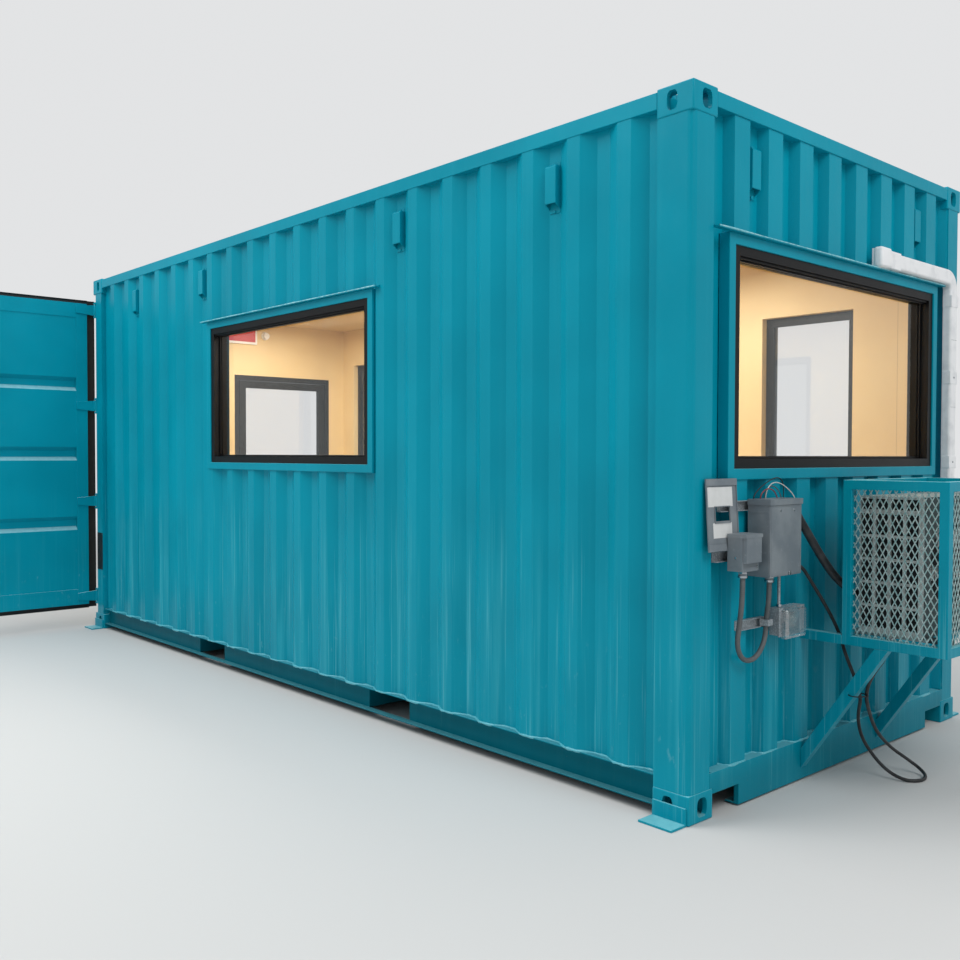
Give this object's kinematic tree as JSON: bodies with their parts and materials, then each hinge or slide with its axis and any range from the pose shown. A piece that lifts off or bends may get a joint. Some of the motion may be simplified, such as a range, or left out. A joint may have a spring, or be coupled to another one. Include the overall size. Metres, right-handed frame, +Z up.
{
  "type": "shipping container office",
  "caption": "Steel shipping container fitted out as a small office, with cargo leaves swung back, windows, a glazed inner door and a caged air conditioner.",
  "frame": {"origin": "on the ground plane, at the centre of the rectangle through the four lower corner castings", "axes": "+X along the length towards the blank end with the cage, +Y across the width, +Z up"},
  "size_m": [6.753, 4.808, 2.896],
  "materials": {
    "teal_paint": "teal gloss paint on steel, scuffed and stained",
    "deck_wood": "worn plywood deck",
    "cream_panel": "cream painted lining board",
    "black_aluminium": "black powder-coated aluminium",
    "clear_glass": "clear window glass",
    "black_rubber": "black rubber seal",
    "grey_enamel": "mid grey enamel",
    "galvanised": "galvanised steel",
    "white_plastic": "white plastic cover",
    "light_enamel": "light enamel case",
    "mesh_steel": "grey-green painted expanded metal",
    "conduit_grey": "dark grey flexible conduit sheath",
    "cable_black": "black rubber cable sheath"
  },
  "bodies": {
    "container": {"corner_castings": "teal_paint", "angle_feet": "teal_paint", "front_corner_posts": "teal_paint", "rear_corner_posts": "teal_paint", "bottom_side_rails": "teal_paint", "top_side_rails": "teal_paint", "front_top_rail": "teal_paint", "front_bottom_rail": "teal_paint", "door_sill": "teal_paint", "door_header": "teal_paint", "near_side_wall": "teal_paint", "far_side_wall": "teal_paint", "blank_end_wall": "teal_paint", "roof_sheet": "teal_paint", "floor_cross_members": "teal_paint", "fork_pocket_tunnels": "teal_paint", "window_surrounds": "teal_paint", "window_flashings": "teal_paint", "vent_covers": "teal_paint", "cage_frame": "teal_paint", "cage_brackets": "teal_paint", "floor_deck": "deck_wood", "near_side_lining": "cream_panel", "far_side_lining": "cream_panel", "end_lining": "cream_panel", "ceiling_panel": "cream_panel", "inner_end_wall_near": "cream_panel", "inner_end_wall_far": "cream_panel", "inner_end_wall_over_door": "cream_panel", "window_frames": "black_aluminium", "glazed_door_frame": "black_aluminium", "window_glass": "clear_glass", "switch_boxes": "grey_enamel", "hanging_cover": "grey_enamel", "gear_struts": "galvanised", "junction_box": "galvanised", "line_set_cover": "white_plastic", "exit_sign": "white_plastic", "safety_lamp": "white_plastic", "condenser_unit": "light_enamel", "cage_mesh": "mesh_steel", "conduit_loop": "conduit_grey", "supply_conduit": "conduit_grey", "cage_cable": "cable_black"},
    "near_cargo_leaf": {"near_leaf_frame": "teal_paint", "near_leaf_panel": "teal_paint", "near_leaf_gasket": "black_rubber"},
    "far_cargo_leaf": {"far_leaf_frame": "teal_paint", "far_leaf_panel": "teal_paint", "far_leaf_gasket": "black_rubber"},
    "glazed_door": {"glazed_door_leaf": "black_aluminium", "glazed_door_glass": "clear_glass"}
  },
  "joints": [
    {"name": "near_cargo_leaf_hinge", "type": "hinge", "parent": "container", "child": "near_cargo_leaf", "pos_m": [-3.016, -1.206, 0], "axis": [0, 0, 1], "range_deg": [-180, 90]},
    {"name": "far_cargo_leaf_hinge", "type": "hinge", "parent": "container", "child": "far_cargo_leaf", "pos_m": [-3.016, 1.206, 0], "axis": [0, 0, -1], "range_deg": [-180, 90]},
    {"name": "glazed_door_hinge", "type": "hinge", "parent": "container", "child": "glazed_door", "pos_m": [-2.736, 0.88025, 0], "axis": [0, 0, 1], "range_deg": [0, 90]}
  ]
}
